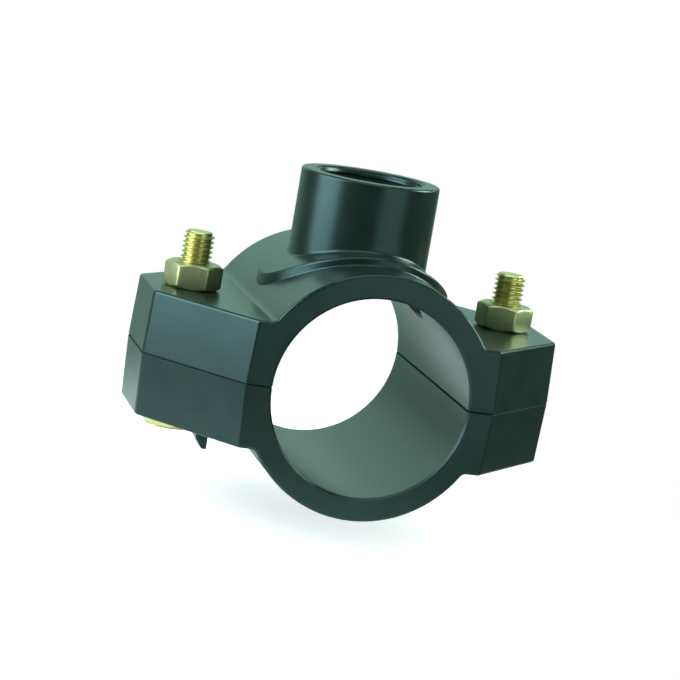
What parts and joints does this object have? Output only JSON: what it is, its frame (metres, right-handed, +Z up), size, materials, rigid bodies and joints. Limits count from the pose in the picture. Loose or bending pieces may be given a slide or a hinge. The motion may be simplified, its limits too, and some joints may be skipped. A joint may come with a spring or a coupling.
{
  "type": "tapping saddle",
  "caption": "Two-part moulded clamp saddle for a plastic pipe, with a threaded outlet boss, a seal ring in the bore, and a bolt and nut through each wing.",
  "frame": {"origin": "centre of the pipe bore, half way along it", "axes": "+Y along the pipe, +Z up the threaded outlet, X from bolt to bolt"},
  "size_m": [0.1072, 0.0746, 0.0816],
  "materials": {
    "body_plastic": "satin moulded",
    "seal_rubber": "matt",
    "zinc_steel": "yellow-green zinc plated"
  },
  "bodies": {
    "upper_half": {"saddle_top": "body_plastic", "outlet_seal": "seal_rubber"},
    "lower_half": {"saddle_bottom": "body_plastic", "bolt_left": "zinc_steel", "bolt_right": "zinc_steel"},
    "left_nut": {"nut_left": "zinc_steel"},
    "right_nut": {"nut_right": "zinc_steel"}
  },
  "joints": [
    {"name": "halves_part", "type": "slide", "parent": "upper_half", "child": "lower_half", "axis": [0, 0, -1], "range_m": [0, 0.0075]},
    {"name": "nut_left_turn", "type": "hinge", "parent": "upper_half", "child": "left_nut", "pos_m": [-0.0416, 0, 0.016], "axis": [0, 0, 1], "range_deg": [0, 2160]},
    {"name": "nut_right_turn", "type": "hinge", "parent": "upper_half", "child": "right_nut", "pos_m": [0.0416, 0, 0.016], "axis": [0, 0, 1], "range_deg": [0, 2160]}
  ],
  "couplings": [
    {"joint": "nut_left_turn", "follows": "halves_part", "rad_per_m": 5026.5},
    {"joint": "nut_right_turn", "follows": "halves_part", "rad_per_m": 5026.5}
  ]
}
